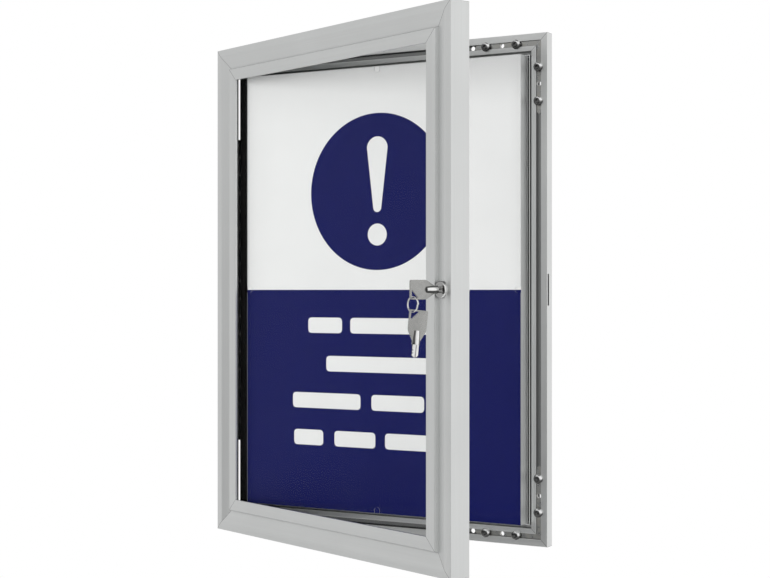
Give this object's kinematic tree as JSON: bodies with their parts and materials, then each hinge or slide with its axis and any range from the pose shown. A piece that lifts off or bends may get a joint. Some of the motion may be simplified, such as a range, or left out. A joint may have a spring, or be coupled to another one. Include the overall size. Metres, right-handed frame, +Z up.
{
  "type": "lockable notice board",
  "caption": "Wall-mounted lockable notice board: mitred aluminium case, raised poster display, hinged glazed door, cam lock, keys on a ring.",
  "frame": {"origin": "centre of the case's back, in the plane of the wall", "axes": "+X to the right as seen by the reader, +Y into the wall, +Z up; the door's face looks along -Y when it is shut"},
  "size_m": [0.4966, 0.2595, 0.674],
  "materials": {
    "case_aluminium": "satin anodised",
    "door_aluminium": "satin anodised",
    "display_aluminium": "bright satin",
    "bracket_steel": "zinc plated",
    "screw_chrome": "polished",
    "hinge_steel": "blackened, satin",
    "lock_chrome": "polished",
    "key_nickel": "nickel plated",
    "back_sheet": "mill finish, dull",
    "core_board": "dark board",
    "poster_print": "printed paper",
    "clear_cover": "clear",
    "glazing": "clear",
    "black_trim": "matt black extrusion",
    "black_rubber": "matt"
  },
  "bodies": {
    "case": {"case_left_stile": "case_aluminium", "case_right_stile": "case_aluminium", "case_top_rail": "case_aluminium", "case_bottom_rail": "case_aluminium", "top_left_bracket": "bracket_steel", "top_right_bracket": "bracket_steel", "bottom_left_bracket": "bracket_steel", "bottom_right_bracket": "bracket_steel", "bracket_screws": "screw_chrome", "hinge_side_cover": "black_trim", "back_panel": "back_sheet", "base_tray": "display_aluminium", "panel_core": "core_board", "display_tray": "display_aluminium", "poster": "poster_print", "cover_sheet": "clear_cover", "case_hinge_leaf": "hinge_steel", "case_leaf_rivets": "hinge_steel", "hinge_pin": "hinge_steel"},
    "door": {"door_left_stile": "door_aluminium", "door_right_stile": "door_aluminium", "door_top_rail": "door_aluminium", "door_bottom_rail": "door_aluminium", "top_left_cleat": "door_aluminium", "top_right_cleat": "door_aluminium", "bottom_left_cleat": "door_aluminium", "bottom_right_cleat": "door_aluminium", "glazing_pane": "glazing", "glazing_gasket": "black_rubber", "left_glazing_bead": "door_aluminium", "right_glazing_bead": "door_aluminium", "top_glazing_bead": "door_aluminium", "bottom_glazing_bead": "door_aluminium", "upper_door_seal": "black_rubber", "lower_door_seal": "black_rubber", "door_hinge_leaf": "hinge_steel", "door_leaf_rivets": "hinge_steel", "lock_housing": "lock_chrome", "lock_washer": "bracket_steel", "lock_nut": "bracket_steel"},
    "lock_cylinder": {"lock_plug": "lock_chrome", "lock_cam": "bracket_steel", "cam_screw": "bracket_steel"},
    "key": {"key": "key_nickel"},
    "key_ring": {"key_ring": "key_nickel"},
    "spare_key": {"spare_key": "key_nickel"}
  },
  "joints": [
    {"name": "door_hinge", "type": "hinge", "parent": "case", "child": "door", "pos_m": [-0.23915, -0.015, 0], "axis": [0, 0, -1], "range_deg": [-21.2, 68.8]},
    {"name": "lock_turn", "type": "hinge", "parent": "door", "child": "lock_cylinder", "pos_m": [0.19109, -0.21417, 0], "axis": [-0.3616, -0.9323, 0], "range_deg": [0, 90]},
    {"name": "key_slide", "type": "slide", "parent": "lock_cylinder", "child": "key", "axis": [-0.3616, -0.9323, 0], "range_m": [0, 0.012]},
    {"name": "key_ring_swing", "type": "hinge", "parent": "key", "child": "key_ring", "pos_m": [0.17562, -0.25407, -0.00715], "axis": [0.9323, -0.3616, 0], "range_deg": [-40, 15]},
    {"name": "spare_key_swing", "type": "hinge", "parent": "key_ring", "child": "spare_key", "pos_m": [0.17562, -0.25407, -0.02605], "axis": [0.9323, -0.3616, 0], "range_deg": [-40, 15]}
  ]
}
